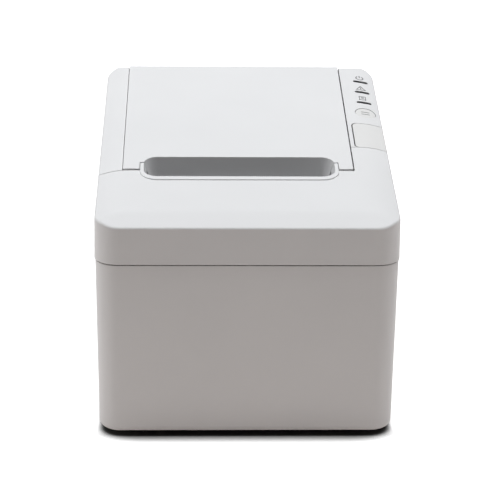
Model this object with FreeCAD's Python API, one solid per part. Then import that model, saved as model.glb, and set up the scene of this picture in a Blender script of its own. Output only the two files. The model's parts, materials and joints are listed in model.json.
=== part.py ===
import FreeCAD, Part
import math
import os

os.makedirs("parts", exist_ok=True)
V = FreeCAD.Vector

# Overall body
width = 145.0
depth = 170.0
corner_r = 12.0
seam_z = 88.0
foot_h = 2.0
wall = 2.5
upper_draft = 0.8
lower_draft = 0.53
lower_inset = 0.4
seam_gap = 0.6
split_gap = 0.35
touch = 0.3
run_fit = 0.05

# Sloping top
tilt = 12.0
top_z0 = 109.1
crown_in = 15.5
crown_r = 42.0
facet_run = 9.8
facet_front_z = 106.2
rear_round = 5.2
strip_edge_r = 1.4
facet_soft = 12.0

# Lid and paper mouth, X from the middle, run from the front face
lid_in_left = 12.2
lid_in_right = 19.1
lid_front = 50.0
lid_wall = 2.2
lid_proud = 0.7
lid_gap_left = 0.3
lid_gap_right = 0.7
mouth_x = -3.05
mouth_over = 1.15
mouth_front = 43.3
mouth_rear = 62.0
mouth_r = 6.5
mouth_lean = 0.3
mouth_deep = 8.6
rim_side = 1.9
rim_front = 3.0
rim_high = 0.45
rim_arm = 56.6
arm_gap = 0.25
arm_lean = 1.1
hinge_deep = 15.2346
hinge_r = 5.0
pin_r = 1.6
rear_gap = 0.9

# Paper path and mechanism
path_x = -3.3
nip_run = 62.0
nip_z = 98.0
mech_tilt = 30.0
side_room = 27.0
plate_t = 2.0
platen_r = 6.0
platen_short = 4.5
shaft_r = 2.5
bush_r = 4.5
paper_gap = 0.3
head_short = 3.5
blade_short = 2.5
blade_t = 0.8
gear_module = 0.6
platen_teeth = 24
small_teeth = 14
big_teeth = 36
pinion_teeth = 12
rack_module = 0.5
rack_teeth = 16

# Roll bay
bay_front = 74.0
bay_rear_in = 10.0
roll_z = 72.0
bay_short = 4.0
bay_wall = 2.0

# Buttons and lamps on the right strip
feed_in = 8.6
feed_from_rear = 57.7
feed_r = 5.2
lamp_in = 8.3
lamps_from_rear = (45.8, 33.7, 21.4)
lamp_len = 8.0
lamp_wide = 2.3
lamp_recess = 0.5
release_in = 16.6
release_ahead = 12.5
release_len = 25.6
release_skirt = 10.0
release_travel = 2.5
release_gap = 0.25
release_gap_left = 0.55
release_corner = 2.5
release_lip = 4.5
release_lip_t = 1.0
feed_gap = 0.2
feed_sink = 0.15
panel_deep = 9.0

# Electronics and rear sockets
side_wall = 4.0
front_wall = 3.5
rear_wall = 4.0
lip_in = 2.4
floor_t = 2.5
board_z = 10.0
board_t = 1.6
plate_steel = 1.0

y_front = -depth / 2
y_rear = depth / 2
t_tan = math.tan(math.radians(tilt))
t_cos = math.cos(math.radians(tilt))
x_side = width / 2
floor_z = foot_h + floor_t
cavity_x = x_side - side_wall
cavity_y0 = y_front + front_wall
cavity_y1 = y_rear - rear_wall
lip_x = x_side - lip_in
lip_over = lip_x - cavity_x
cover_z = seam_z + seam_gap / 2
rear_top = top_z0 + depth * t_tan
roof_z = rear_top + 5
hinge_z = rear_top - hinge_deep
rear_wall_top = hinge_z - hinge_r - rear_gap
crown_flat = x_side - crown_in
lid_x0 = lid_in_left - x_side
lid_x1 = x_side - lid_in_right
feed_x = x_side - feed_in
lamp_x = x_side - lamp_in
release_x = x_side - release_in
feed_run = depth - feed_from_rear
lamp_runs = tuple(depth - back for back in lamps_from_rear)
release_run1 = feed_run - release_ahead
release_run0 = release_run1 - release_len
strip_run = release_run0 - release_gap
reach = width + depth
plate_in = x_side - side_room
platen_half = plate_in - platen_short
head_half = plate_in - head_short
blade_half = plate_in - blade_short
bay_half = plate_in - bay_short
bay_r = (depth - bay_rear_in - bay_front) / 2
roll_run = bay_front + bay_r
mouth_x0 = mouth_x - plate_in - mouth_over
mouth_x1 = mouth_x + plate_in + mouth_over


def box(x0, x1, y0, y1, z0, z1):
    return Part.makeBox(x1 - x0, y1 - y0, z1 - z0, V(x0, y0, z0))


def rod(p, axis, r, length):
    return Part.makeCylinder(r, length, V(*p), V(*axis))


def prism(points, vector):
    wire = Part.makePolygon([V(*p) for p in points + points[:1]])
    return Part.Face(wire).extrude(V(*vector))


def fuse(shapes):
    out = shapes[0].multiFuse(shapes[1:]) if len(shapes) > 1 else shapes[0]
    return out.removeSplitter()


def top_at(run):
    return top_z0 + run * t_tan


def rounded(x0, x1, y0, y1, r, z):
    """Closed wire of a rectangle with round corners at height z."""
    k = r * (1 - math.sqrt(0.5))
    edges = []
    spots = [
        ((x0 + r, y0), (x1 - r, y0), (x1 - k, y0 + k), (x1, y0 + r)),
        ((x1, y0 + r), (x1, y1 - r), (x1 - k, y1 - k), (x1 - r, y1)),
        ((x1 - r, y1), (x0 + r, y1), (x0 + k, y1 - k), (x0, y1 - r)),
        ((x0, y1 - r), (x0, y0 + r), (x0 + k, y0 + k), (x0 + r, y0)),
    ]
    for a, b, mid, c in spots:
        edges.append(Part.makeLine(V(*a, z), V(*b, z)))
        edges.append(Part.Arc(V(*b, z), V(*mid, z), V(*c, z)).toShape())
    return Part.Wire(edges)


def slab(x0, x1, y0, y1, r, z0, z1):
    return Part.Face(rounded(x0, x1, y0, y1, r, z0)).extrude(V(0, 0, z1 - z0))


def drafted(inset, z0, z1, slope):
    """Body in plan between two heights, leaning in by slope degrees."""
    lean = math.tan(math.radians(slope)) * (z1 - z0)
    wires = []
    for i, z in ((inset, z0), (inset + lean, z1)):
        x = width / 2 - i
        wires.append(rounded(-x, x, y_front + i, y_rear - i, max(corner_r - i, 3), z))
    return Part.makeLoft(wires, True, True)


def on_top(shape):
    """Place a shape drawn flat so that its Z=0 plane is the sloping top."""
    out = shape.copy()
    out.rotate(V(0, 0, 0), V(1, 0, 0), tilt)
    out.translate(V(0, y_front, top_z0))
    return out


def along(run):
    return run / t_cos


def panel_box(x0, x1, run0, run1, d0, d1):
    return on_top(box(x0, x1, along(run0), along(run1), -d1, -d0))


def in_mech(shape):
    """Place a shape drawn about the print line into the tilted mechanism."""
    out = shape.copy()
    out.rotate(V(0, 0, 0), V(1, 0, 0), mech_tilt)
    out.translate(V(path_x, y_front + nip_run, nip_z))
    return out


def mech_box(x0, x1, y0, y1, z0, z1):
    return in_mech(box(x0, x1, y0, y1, z0, z1))


def mech_rod(x0, x1, y, z, r):
    return rod((x0, y, z), (1, 0, 0), r, x1 - x0)


def crown(inset):
    """Flat top with both sides falling away on an arc, run along the slope."""
    r = crown_r - inset
    far = crown_flat + r * math.sin(math.radians(38))
    fall = crown_r - r * math.cos(math.radians(38))
    mid_x = crown_flat + r * math.sin(math.radians(19))
    mid_z = -crown_r + r * math.cos(math.radians(19))
    y = -40
    low = -roof_z
    line = [
        Part.makeLine(V(-far, y, low), V(-far, y, -fall)),
        Part.Arc(V(-far, y, -fall), V(-mid_x, y, mid_z), V(-crown_flat, y, -inset)).toShape(),
        Part.makeLine(V(-crown_flat, y, -inset), V(crown_flat, y, -inset)),
        Part.Arc(V(crown_flat, y, -inset), V(mid_x, y, mid_z), V(far, y, -fall)).toShape(),
        Part.makeLine(V(far, y, -fall), V(far, y, low)),
        Part.makeLine(V(far, y, low), V(-far, y, low)),
    ]
    return on_top(Part.Face(Part.Wire(line)).extrude(V(0, reach, 0)))


def side_profile(inset):
    """Front facet, sloping top and rounded rear edge, drawn from the side."""
    lean = math.tan(math.radians(upper_draft))
    arc_z = rear_top - 1.154 * rear_round
    rear = y_rear - lean * (arc_z - seam_z)
    r = rear_round - inset
    cy = rear - rear_round
    cz = top_at(cy - y_front) - rear_round / t_cos
    sin_t = math.sin(math.radians(tilt))
    z_in = inset / t_cos
    rise = top_at(facet_run) - facet_front_z
    size = math.hypot(facet_run, rise)
    fy = y_front + inset * rise / size
    fz = facet_front_z - inset * facet_run / size
    slope = rise / facet_run
    cross = (top_z0 - z_in - y_front * t_tan - fz + fy * slope) / (slope - t_tan)
    a = V(-width, y_front - 6, fz + (y_front - 6 - fy) * slope)
    b = V(-width, cross, top_z0 - z_in + (cross - y_front) * t_tan)
    c = V(-width, cy - r * sin_t, cz + r * t_cos)
    m = math.radians(45 - tilt / 2)
    d = V(-width, cy + r * math.sin(m), cz + r * math.cos(m))
    e = V(-width, cy + r, cz)
    f = V(-width, cy + r, seam_z - 30)
    g = V(-width, y_front - 6, seam_z - 30)
    edges = [Part.makeLine(a, b), Part.makeLine(b, c), Part.Arc(c, d, e).toShape()]
    edges += [Part.makeLine(e, f), Part.makeLine(f, g), Part.makeLine(g, a)]
    return Part.Face(Part.Wire(edges)).extrude(V(2 * width, 0, 0))


def upper_solid(inset, drop=0.0):
    """Upper body, moved in by inset and let down below the seam by drop."""
    out = drop * math.tan(math.radians(upper_draft))
    plan = drafted(inset - out, cover_z - drop, roof_z, upper_draft)
    return plan.common(side_profile(inset)).common(crown(inset))


def soften(shape, radius, pick):
    """Round the edges picked by a test on their middle point and length."""
    edges = []
    for e in shape.Edges:
        m = e.valueAt((e.FirstParameter + e.LastParameter) / 2)
        if pick(m, e.Length):
            edges.append(e)
    return shape.makeFillet(radius, edges)


def mouth(grow_x, grow_front, grow_rear, d0, d1):
    """Paper mouth outline with round ends, as a prism square to the top."""
    y0 = along(mouth_front - grow_front)
    y1 = along(mouth_rear + grow_rear)
    shape = slab(mouth_x0 - grow_x, mouth_x1 + grow_x, y0, y1, mouth_r + grow_x, -d1, -d0)
    return on_top(shape)


def funnel(y0, grow, deep):
    """Paper mouth that leans in at its ends and rear as it goes down."""
    wires = []
    for z in (-deep, 5.0):
        lean = grow + mouth_lean * z
        y1 = along(mouth_rear) + lean
        wires.append(rounded(mouth_x0 - lean, mouth_x1 + lean, y0, y1, mouth_r + lean, z))
    return on_top(Part.makeLoft(wires, True, True))


def gear(module, teeth, x0, x1, bore, phase):
    """Spur gear with involute flanks about the X axis, thinned for backlash."""
    pitch = module * teeth / 2
    base = pitch * math.cos(math.radians(20))
    top = pitch + module * 0.95
    root = pitch - module * 1.2
    inv = math.tan(math.radians(20)) - math.radians(20)
    half = math.pi / teeth / 2 - 0.06 / pitch
    points = []
    for k in range(teeth):
        mid = math.radians(phase) + 2 * math.pi * k / teeth
        flank = []
        for s in range(4):
            r = max(base, root) + (top - max(base, root)) * s / 3
            a = math.acos(min(1, base / r))
            flank.append((r, half + inv - (math.tan(a) - a)))
        if root < base:
            flank = [(root, flank[0][1])] + flank
        for r, w in flank:
            points.append((r, mid - w))
        for r, w in reversed(flank):
            points.append((r, mid + w))
    wire = [(x0, r * math.cos(a), r * math.sin(a)) for r, a in points]
    body = prism(wire, (x1 - x0, 0, 0))
    return body.cut(mech_rod(x0, x1, 0, 0, bore))


def moved(shape, x, y, z):
    out = shape.copy()
    out.translate(V(x, y, z))
    return out


def save(name, shape):
    shape.exportStep("parts/" + name + ".step")


# Lower casing, tub open at the top with a lip that carries the upper shells
foot_in_x = 16.5
foot_in_y = 17.0
foot_r = 7.0
foot_spots = [(x, y) for x in (foot_in_x - x_side, x_side - foot_in_x)
              for y in (y_front + foot_in_y, y_rear - foot_in_y)]
cover_in_x = 26.5
cover_x = x_side - cover_in_x
cover_y0 = y_front + 37.0
cover_y1 = y_rear - 41.0
cover_edge = 5.0
cover_t = 1.2
screw_r = 1.5
screw_head_r = 2.8
screw_head_h = 1.0
io_in_left = 10.5
io_in_right = 8.1
io_x0 = io_in_left - x_side
io_x1 = x_side - io_in_right
io_z0 = 6.0
io_z1 = 36.0
io_edge = 1.5
board_x0 = io_x0 + 2.0
board_x1 = io_x1 - 0.4
board_run0 = 66.0
post_r = 3.5
post_in = 5.0
post_rear = 35.0
post_spots = [(x, y) for x in (board_x0 + post_in, board_x1 - post_in)
              for y in (y_front + board_run0 + post_in, y_rear - post_rear)]
column_in = plate_in + plate_t + 0.5
column_w = 6.0
column_x = ((-column_in - column_w, -column_in), (column_in, column_in + column_w))
column_run = (53.2, 58.4)
rail_z = -22.0
rib_z = 84.0
rib_deep = 6.0
rib_runs = (roll_run - 19.0, roll_run + 5.0, roll_run + 29.0)
rib_t = 3.0
cover_screws = [(x, y) for x in (-cover_x + cover_edge / 2, cover_x - cover_edge / 2)
                for y in (cover_y0 + 12, cover_y1 - 12)]


def casing_outer():
    bottom = foot_h
    low = lower_inset + math.tan(math.radians(lower_draft)) * (seam_z - bottom)
    body = drafted(low, bottom, seam_z - seam_gap / 2, -lower_draft)
    edge_r = 3.5
    return soften(body, edge_r, lambda m, n: abs(m.z - bottom) < 0.01)


def lower_casing():
    body = casing_outer()
    lip_y0 = cavity_y0 - lip_over
    lip_y1 = cavity_y1 + lip_over
    lip = slab(-lip_x, lip_x, lip_y0, lip_y1, corner_r - 1, seam_z - 4, cover_z)
    body = body.fuse(lip)
    cavity = slab(-cavity_x, cavity_x, cavity_y0, cavity_y1, corner_r - 8, floor_z, cover_z + 5)
    body = body.cut(cavity)
    open_x = cover_x - cover_edge
    opening = box(-open_x, open_x, cover_y0 + cover_edge, cover_y1 - cover_edge, 0, floor_z + 1)
    recess = box(-cover_x - touch, cover_x + touch, cover_y0 - touch, cover_y1 + touch, 0, foot_h + cover_t)
    body = body.cut(opening).cut(recess)
    io_y0 = cavity_y1 - 1
    io_hole = box(io_x0 + io_edge, io_x1 - io_edge, io_y0, y_rear + 1, io_z0 + io_edge, io_z1 - io_edge)
    body = body.cut(io_hole)
    adds = [rod((x, y, floor_z), (0, 0, 1), post_r, board_z - floor_z) for x, y in post_spots]
    under_rail = mech_box(-reach, reach, -reach, reach, rail_z - reach, rail_z)
    for a, b in column_x:
        column = box(path_x + a, path_x + b, y_front + column_run[0], y_front + column_run[1], floor_z, 90)
        adds.append(column.common(under_rail))
    for run in rib_runs:
        for x0, x1 in ((-cavity_x, -cavity_x + rib_deep), (cavity_x - rib_deep, cavity_x)):
            adds.append(box(x0, x1, y_front + run, y_front + run + rib_t, 50, rib_z))
    body = fuse([body] + adds)
    for x, y in post_spots:
        body = body.cut(rod((x, y, floor_z + 1), (0, 0, 1), 1.1, 20))
    for x, y in cover_screws:
        body = body.cut(rod((x, y, 0), (0, 0, 1), screw_r, 10))
    for x, y in foot_spots:
        body = body.cut(rod((x, y, 0), (0, 0, 1), foot_r + 0.1, foot_h + 0.6))
    return body


def bottom_plate():
    plate = slab(-cover_x, cover_x, cover_y0, cover_y1, 3, foot_h, foot_h + cover_t)
    for x, y in cover_screws:
        plate = plate.cut(rod((x, y, 0), (0, 0, 1), screw_r + 0.1, 10))
    for k in range(6):
        y = -18.0 + k * 6
        plate = plate.cut(slab(-20, 20, y, y + 2, 0.9, 0, 10))
    return plate


def bottom_screw(x, y):
    head = rod((x, y, foot_h - screw_head_h), (0, 0, 1), screw_head_r, screw_head_h)
    shank = rod((x, y, foot_h), (0, 0, 1), screw_r, cover_t + 1.2)
    slot = box(x - 2, x + 2, y - 0.3, y + 0.3, foot_h - screw_head_h, foot_h - 0.5)
    cross = box(x - 0.3, x + 0.3, y - 2, y + 2, foot_h - screw_head_h, foot_h - 0.5)
    return head.fuse(shank).cut(slot).cut(cross)


def rubber_foot(x, y):
    body = rod((x, y, 0), (0, 0, 1), foot_r, foot_h + 0.6)
    return soften(body, 0.5, lambda m, n: m.z < 0.01 and n > foot_r)


save("lower_casing", lower_casing())
save("bottom_plate", bottom_plate())
save("bottom_screws", Part.makeCompound([bottom_screw(x, y) for x, y in cover_screws]))
save("rubber_feet", Part.makeCompound([rubber_foot(x, y) for x, y in foot_spots]))

# Upper shells


def facet_edge(m, n):
    run = m.y - y_front
    return facet_run / 3 < run < facet_run + 1 and abs(m.x) < x_side - corner_r / 2


def top_edge(m, n):
    return m.z > facet_front_z - 1 and abs(abs(m.x) - crown_flat) > 0.1


skin = soften(soften(upper_solid(0), facet_soft, facet_edge), strip_edge_r, top_edge)
skin_in = upper_solid(wall, 10.0)
lid_skin = upper_solid(-lid_proud)
lid_in = upper_solid(lid_wall, 10.0)
shell = skin.cut(skin_in)
split_y = y_front + lid_front
trough_deep = 7.0
bar_half = head_half
bar_run = mouth_front + 0.9
bar_t = 0.6
bar_top = 0.5
bar_foot = 6.0


def front_region(gap):
    """All that lies ahead of the split, which runs further back right of the lid."""
    ahead = box(-reach, reach, -reach, split_y - gap, 0, reach)
    strip = panel_box(lid_x1, reach, -reach, strip_run - gap + split_gap / 2, -reach, reach)
    return ahead.fuse(strip)


def front_cover():
    body = shell.common(front_region(split_gap / 2))
    ring = mouth(rim_side, rim_front, rim_side, -rim_high, trough_deep)
    keep = panel_box(-reach, reach, 0, rim_arm, -5, trough_deep)
    body = fuse([body, ring.common(keep)])
    lean_deep = arm_lean / mouth_lean
    body = body.cut(funnel(along(mouth_front), 0, lean_deep))
    body = body.cut(mouth(-arm_lean, 0, 0, lean_deep, trough_deep + 10))
    ledge = panel_box(path_x - bar_half, path_x + bar_half, mouth_front - 0.5, bar_run, 2, trough_deep)
    return fuse([body, ledge])


def tear_bar():
    top = -bar_top
    plate = panel_box(path_x - bar_half, path_x + bar_half, bar_run, bar_run + bar_t, top + 1, bar_foot)
    pitch = 1.0
    count = int(2 * bar_half / pitch)
    y0 = along(bar_run)
    outline = [(path_x - bar_half, y0, -top - 1)]
    for k in range(count):
        x = path_x - bar_half + k * pitch
        outline.append((x + pitch / 2, y0, bar_top))
        outline.append((x + pitch, y0, -top - 1))
    outline.append((path_x + bar_half, y0, -top - 1.5))
    outline.append((path_x - bar_half, y0, -top - 1.5))
    teeth = on_top(prism(outline, (0, along(bar_t), 0)))
    return fuse([plate, teeth])


hinge_y = y_rear - math.tan(math.radians(upper_draft)) * (hinge_z - seam_z) - hinge_r
cheek_t = 1.6
cheek_gap = 0.3
cheek_deep_left = 20.0
cheek_deep_right = 26.0
cheek_ahead = 5.5
latch_in = 12.5
latch_x = x_side - latch_in
latch_deep = 20.0
latch_run0 = release_run0 + 5.8
latch_len = 8.0
latch_run1 = latch_run0 + latch_len
latch_pin_r = 1.5
ear_t = 2.0
lug_r = 2.0
feed_flange = feed_r + 1.2
lug_runs = (feed_run + feed_flange + lug_r + touch, lamp_runs[-1] + 5.4)


def hinge_pin():
    x0 = lid_x0 - cheek_gap - cheek_t
    return rod((x0, hinge_y, hinge_z), (1, 0, 0), pin_r, lid_x1 + cheek_gap + cheek_t - x0)


def latch_pin():
    run = latch_run0 - touch - ear_t
    size = along(latch_run1 - latch_run0 + 2 * touch + 2 * ear_t)
    return on_top(rod((latch_x, along(run), -latch_deep), (0, 1, 0), latch_pin_r, size))


def lamp_slot(run, grow, d0, d1):
    half = lamp_len / 2 + grow
    y = along(run)
    wide = lamp_wide / 2 + grow
    return on_top(slab(lamp_x - half, lamp_x + half, y - wide, y + wide, wide * 0.98, -d1, -d0))


def panel_rod(x, run, d0, d1, r):
    return on_top(rod((x, along(run), -d1), (0, 0, 1), r, d1 - d0))


def release_plan(grow_left, grow, deep):
    """Outline of the release key with round corners, down to a depth."""
    y0 = along(release_run0 - grow)
    y1 = along(release_run1 + grow)
    return on_top(slab(release_x - grow_left, reach, y0, y1, release_corner, -deep, 9))


def top_frame():
    body = shell.cut(front_region(-split_gap / 2))
    body = body.cut(box(lid_x0, lid_x1, -reach, hinge_y, seam_z - 8, reach))
    body = body.cut(box(lid_x0, lid_x1, hinge_y, reach, rear_wall_top, reach))
    left = lid_x0 - cheek_gap - cheek_t
    right = lid_x1 + cheek_gap
    cheeks = []
    for x, deep in ((left, cheek_deep_left), (right, cheek_deep_right)):
        cheek = panel_box(x, x + cheek_t, latch_run0 - cheek_ahead, depth - 2, -5, deep)
        cheeks.append(cheek.common(skin))
    adds = []
    for run in (latch_run0 - touch - ear_t, latch_run1 + touch):
        ear = panel_box(right, latch_x + 3, run, run + ear_t, latch_deep - 4, latch_deep + 4)
        adds.append(ear)
    for run in lug_runs:
        adds.append(panel_rod(lamp_x, run, 1, panel_deep, lug_r).common(skin))
    body = fuse([body] + cheeks + adds)
    body = body.cut(hinge_pin())
    body = body.cut(panel_rod(feed_x, feed_run, -5, panel_deep - 1, feed_r + feed_gap))
    for run in lamp_runs:
        body = body.cut(lamp_slot(run, 0, -5, panel_deep - 1))
    body = body.cut(release_plan(release_gap_left, release_gap, release_skirt + release_travel + release_gap))
    run0 = latch_run0 - touch
    run1 = latch_run1 + touch
    window = panel_box(lid_x1, latch_x, run0, run1, latch_deep - 12, latch_deep + 1)
    return body.cut(latch_pin()).cut(window)


def lid_panel():
    x0 = lid_x0 + lid_gap_left
    x1 = lid_x1 - lid_gap_right
    region = box(x0, x1, split_y + split_gap / 2, hinge_y, seam_z, reach)
    region = region.fuse(box(x0, x1, hinge_y, reach, hinge_z, reach))
    body = lid_skin.cut(lid_in).common(region)
    curl = rod((x0, hinge_y, hinge_z), (1, 0, 0), hinge_r, x1 - x0)
    curl = curl.cut(rod((lid_x0, hinge_y, hinge_z), (1, 0, 0), hinge_r - 2, lid_x1 - lid_x0))
    curl = curl.cut(box(-reach, reach, -reach, reach, hinge_z, reach))
    ends = ((x0, 12.0), (path_x - 6.0, 12.0), (x1 - 12.0, 12.0))
    knuckles = [rod((x, hinge_y, hinge_z), (1, 0, 0), hinge_r - 1.5, n) for x, n in ends]
    for x, n in ends:
        knuckles.append(box(x, x + n, hinge_y + 1, hinge_y + hinge_r - 0.5, hinge_z - 1, hinge_z + 5))
    ahead = along(mouth_front) - 4
    pocket = funnel(ahead, lid_wall, mouth_deep).common(lid_skin)
    body = fuse([body, curl, pocket.common(region)] + knuckles)
    body = body.cut(funnel(ahead, 0, mouth_deep + 5))
    side = rim_side + arm_gap
    body = body.cut(panel_box(mouth_x0 - side, mouth_x1 + side, 30, rim_arm + arm_gap, -9, 20))
    return body.cut(rod((-reach, hinge_y, hinge_z), (1, 0, 0), pin_r + run_fit, 2 * reach))


save("front_cover", front_cover())
save("tear_bar", tear_bar())
save("top_frame", top_frame())
save("lid_panel", lid_panel())
save("hinge_pin", hinge_pin())

# Lid inner frame, with arms for the platen bushes and a bar for the fixed blade
platen_y = platen_r
arm_x0 = blade_half + 0.2
arm_x1 = plate_in - 0.5
fixed_z = 10.9
fixed_y0 = 1.2
fixed_y1 = 9.0
beam_h = 2.4
arm_shape = [(57.4, 108.0), (60.6, 101.0), (61.6, 95.0), (72.6, 95.0), (76.0, 103.0),
             (92.0, 116.0), (92.0, 140.0), (65.0, 140.0), (65.0, 115.2), (57.4, 113.6)]
guide_run = 78.0


def lid_inner_frame():
    arms = []
    for x0 in (-arm_x1, arm_x0):
        outline = [(path_x + x0, y_front + run, z) for run, z in arm_shape]
        arms.append(prism(outline, (arm_x1 - arm_x0, 0, 0)))
    beam = mech_box(-arm_x1, arm_x1, 3, fixed_y1, fixed_z + blade_t, fixed_z + blade_t + beam_h)
    guide = box(path_x - arm_x1, path_x + arm_x1, y_front + guide_run, y_front + guide_run + 2, 108, 140)
    body = fuse(arms + [beam, guide]).common(lid_in)
    body = body.cut(funnel(along(mouth_front), lid_wall, mouth_deep))
    return body.cut(in_mech(mech_rod(-reach, reach, platen_y, 0, bush_r)))


def fixed_blade():
    return mech_box(-blade_half, blade_half, fixed_y0, fixed_y1, fixed_z, fixed_z + blade_t)


def platen_bush(x0, x1):
    body = mech_rod(x0, x1, platen_y, 0, bush_r)
    return in_mech(body.cut(mech_rod(x0, x1, platen_y, 0, shaft_r + run_fit)))


gear_x1 = -plate_in - 6.0
gear_x0 = gear_x1 - 4.0


def platen_shaft():
    return in_mech(mech_rod(gear_x0 - 0.4, bush_x + 2.5, platen_y, 0, shaft_r))


def platen_rubber():
    body = mech_rod(-platen_half, platen_half, platen_y, 0, platen_r - paper_gap)
    return in_mech(body.cut(mech_rod(-platen_half, platen_half, platen_y, 0, shaft_r)))


save("lid_inner_frame", lid_inner_frame())
save("fixed_blade", fixed_blade())
bush_x = arm_x0 + 5.3
bush_spots = ((-bush_x, -arm_x0), (arm_x0, bush_x))
save("platen_bushings", Part.makeCompound([platen_bush(a, b) for a, b in bush_spots]))
save("platen_shaft", platen_shaft())
save("platen_rubber", platen_rubber())

# Gear train on the left side plate
train_a = 257.0
train_b = 200.0
train_c1 = gear_module * (platen_teeth + small_teeth) / 2
train_c2 = gear_module * (big_teeth + pinion_teeth) / 2
red_y = platen_y + train_c1 * math.cos(math.radians(train_a))
red_z = train_c1 * math.sin(math.radians(train_a))
mot_y = red_y + train_c2 * math.cos(math.radians(train_b))
mot_z = red_z + train_c2 * math.sin(math.radians(train_b))
stud_r = 2.0
big_x1 = gear_x0 - 0.7
big_x0 = big_x1 - 3.0
motor_r = 9.0
motor_x1 = 22.0 - plate_in
motor_shaft_r = 1.25
motor_boss_r = 4.0


def platen_gear():
    body = gear(gear_module, platen_teeth, gear_x0, gear_x1, shaft_r, train_a)
    return in_mech(moved(body, 0, platen_y, 0))


def reduction_gear():
    bore = stud_r + run_fit
    small = gear(gear_module, small_teeth, gear_x0, gear_x1, bore, train_a + 180 + 180 / small_teeth)
    big = gear(gear_module, big_teeth, big_x0, big_x1, bore, train_b)
    hub = mech_rod(big_x1, gear_x0, 0, 0, 3.4).cut(mech_rod(big_x1, gear_x0, 0, 0, bore))
    return in_mech(moved(fuse([small, hub, big]), 0, red_y, red_z))


def motor_pinion():
    phase = train_b + 180 + 180 / pinion_teeth
    body = gear(gear_module, pinion_teeth, big_x0 - 0.3, big_x1 + 0.3, 0.4, phase)
    shaft = mech_rod(big_x0 - 0.3, -plate_in + 4, 0, 0, motor_shaft_r)
    return in_mech(moved(fuse([body, shaft]), 0, mot_y, mot_z))


def gear_stud():
    x0 = big_x0 - 0.3
    head = mech_rod(x0 - 1, x0, red_y, red_z, 3.0)
    return in_mech(fuse([mech_rod(x0, -plate_in, red_y, red_z, stud_r), head]))


def feed_motor():
    body = mech_rod(-plate_in, motor_x1, mot_y, mot_z, motor_r)
    boss = mech_rod(-plate_in - plate_t, -plate_in, mot_y, mot_z, motor_boss_r)
    cap = mech_rod(motor_x1, motor_x1 + 1.5, mot_y, mot_z, motor_boss_r)
    bore = mech_rod(-plate_in - plate_t, -plate_in + 5, mot_y, mot_z, motor_shaft_r + run_fit)
    return in_mech(fuse([body, boss, cap]).cut(bore))


save("platen_gear", platen_gear())
save("reduction_gear", reduction_gear())
save("motor_pinion", motor_pinion())
save("gear_stud", gear_stud())
save("feed_motor", feed_motor())

# Mechanism frame, print head and its springs
plate_y0 = -24.0
plate_y1 = 14.0
plate_z0 = -20.0
plate_z1 = 8.0
web_y0 = -14.0
web_y1 = -12.0
web_z0 = -5.0
sink_y0 = -7.5
sink_y1 = -1.1
sink_z0 = -5.0
sink_z1 = 6.0
spring_xs = (-28.0, 0.0, 28.0)
slot_way = 12.7
way_ease = 0.7


def mechanism_frame():
    solids = []
    for x0 in (-plate_in - plate_t, plate_in):
        solids.append(box(x0, x0 + plate_t, plate_y0, plate_y1, plate_z0, plate_z1))
    solids.append(box(-plate_in, plate_in, web_y0, web_y1, web_z0, plate_z1))
    for a, b in column_x:
        x0 = min(a, plate_in) if a > 0 else a
        x1 = b if a > 0 else max(b, -plate_in)
        solids.append(box(x0, x1, plate_y0, -16, rail_z, plate_z0))
    for x0 in (-plate_in, head_half + 0.2):
        solids.append(box(x0, x0 + plate_in - head_half - 0.2, web_y1, sink_y0, sink_z0, sink_z1))
    body = fuse(solids)
    cut = mech_rod(-reach, reach, platen_y, 0, bush_r + touch)
    way = box(-reach, reach, -bush_r - touch, bush_r + touch + way_ease, 0, 40)
    way.rotate(V(0, 0, 0), V(1, 0, 0), -slot_way)
    body = body.cut(cut).cut(moved(way, 0, platen_y, 0))
    body = body.cut(mech_rod(-plate_in - plate_t - 1, -plate_in + 1, mot_y, mot_z, motor_boss_r))
    body = body.cut(mech_rod(-plate_in - plate_t - 1, -plate_in + 1, red_y, red_z, stud_r))
    return in_mech(body)


def head_heatsink():
    body = box(-head_half, head_half, sink_y0, sink_y1, sink_z0, sink_z1)
    for k in range(3):
        z = sink_z0 + 2 + k * 3
        body = body.cut(box(-head_half, head_half, sink_y0, sink_y0 + 2, z, z + 1.2))
    ears = []
    for x in (-head_half, head_half):
        ears.append(box(x - 0.2, x + 0.2, sink_y0, sink_y1, sink_z0, sink_z1))
    return in_mech(fuse([body] + ears))


def thermal_strip():
    plate = box(-platen_half, platen_half, sink_y1, -paper_gap, sink_z0 + 1, sink_z1 - 1)
    return in_mech(plate)


def head_spring(x):
    helix = Part.makeHelix(1.3, sink_y0 - web_y1 - 0.5, 2.0)
    ring = Part.Wire(Part.Circle(V(2.0, 0, 0), V(0, 1, 0), 0.25).toShape())
    coil = Part.Wire(helix.Edges).makePipeShell([ring], True, True)
    coil.rotate(V(0, 0, 0), V(1, 0, 0), -90)
    return in_mech(moved(coil, x, web_y1 + 0.25, 1.0))


save("mechanism_frame", mechanism_frame())
save("head_heatsink", head_heatsink())
save("thermal_strip", thermal_strip())
save("head_springs", Part.makeCompound([head_spring(x) for x in spring_xs]))

# Cutter
cut_y0 = -30.0
cut_y1 = -3.0
cut_t = 1.5
blade_z = plate_z1 + cut_t + 0.3
blade_y1 = -1.2
blade_y0 = -12.0
tongue_x1 = 8.0
pinion_y = -21.0
pinion_r = rack_module * rack_teeth / 2
cutter_r = 6.3


def cutter_frame():
    base = box(-plate_in - plate_t, plate_in + plate_t, cut_y0, cut_y1, plate_z1, plate_z1 + cut_t)
    rails = [box(x, x + 2.5, -12, cut_y1, plate_z1, blade_z + 2) for x in (-blade_half - 3, blade_half + 0.5)]
    body = fuse([base] + rails)
    return in_mech(body.cut(rod((-pinion_r, pinion_y, 0), (0, 0, 1), 1.6, 30)))


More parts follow.
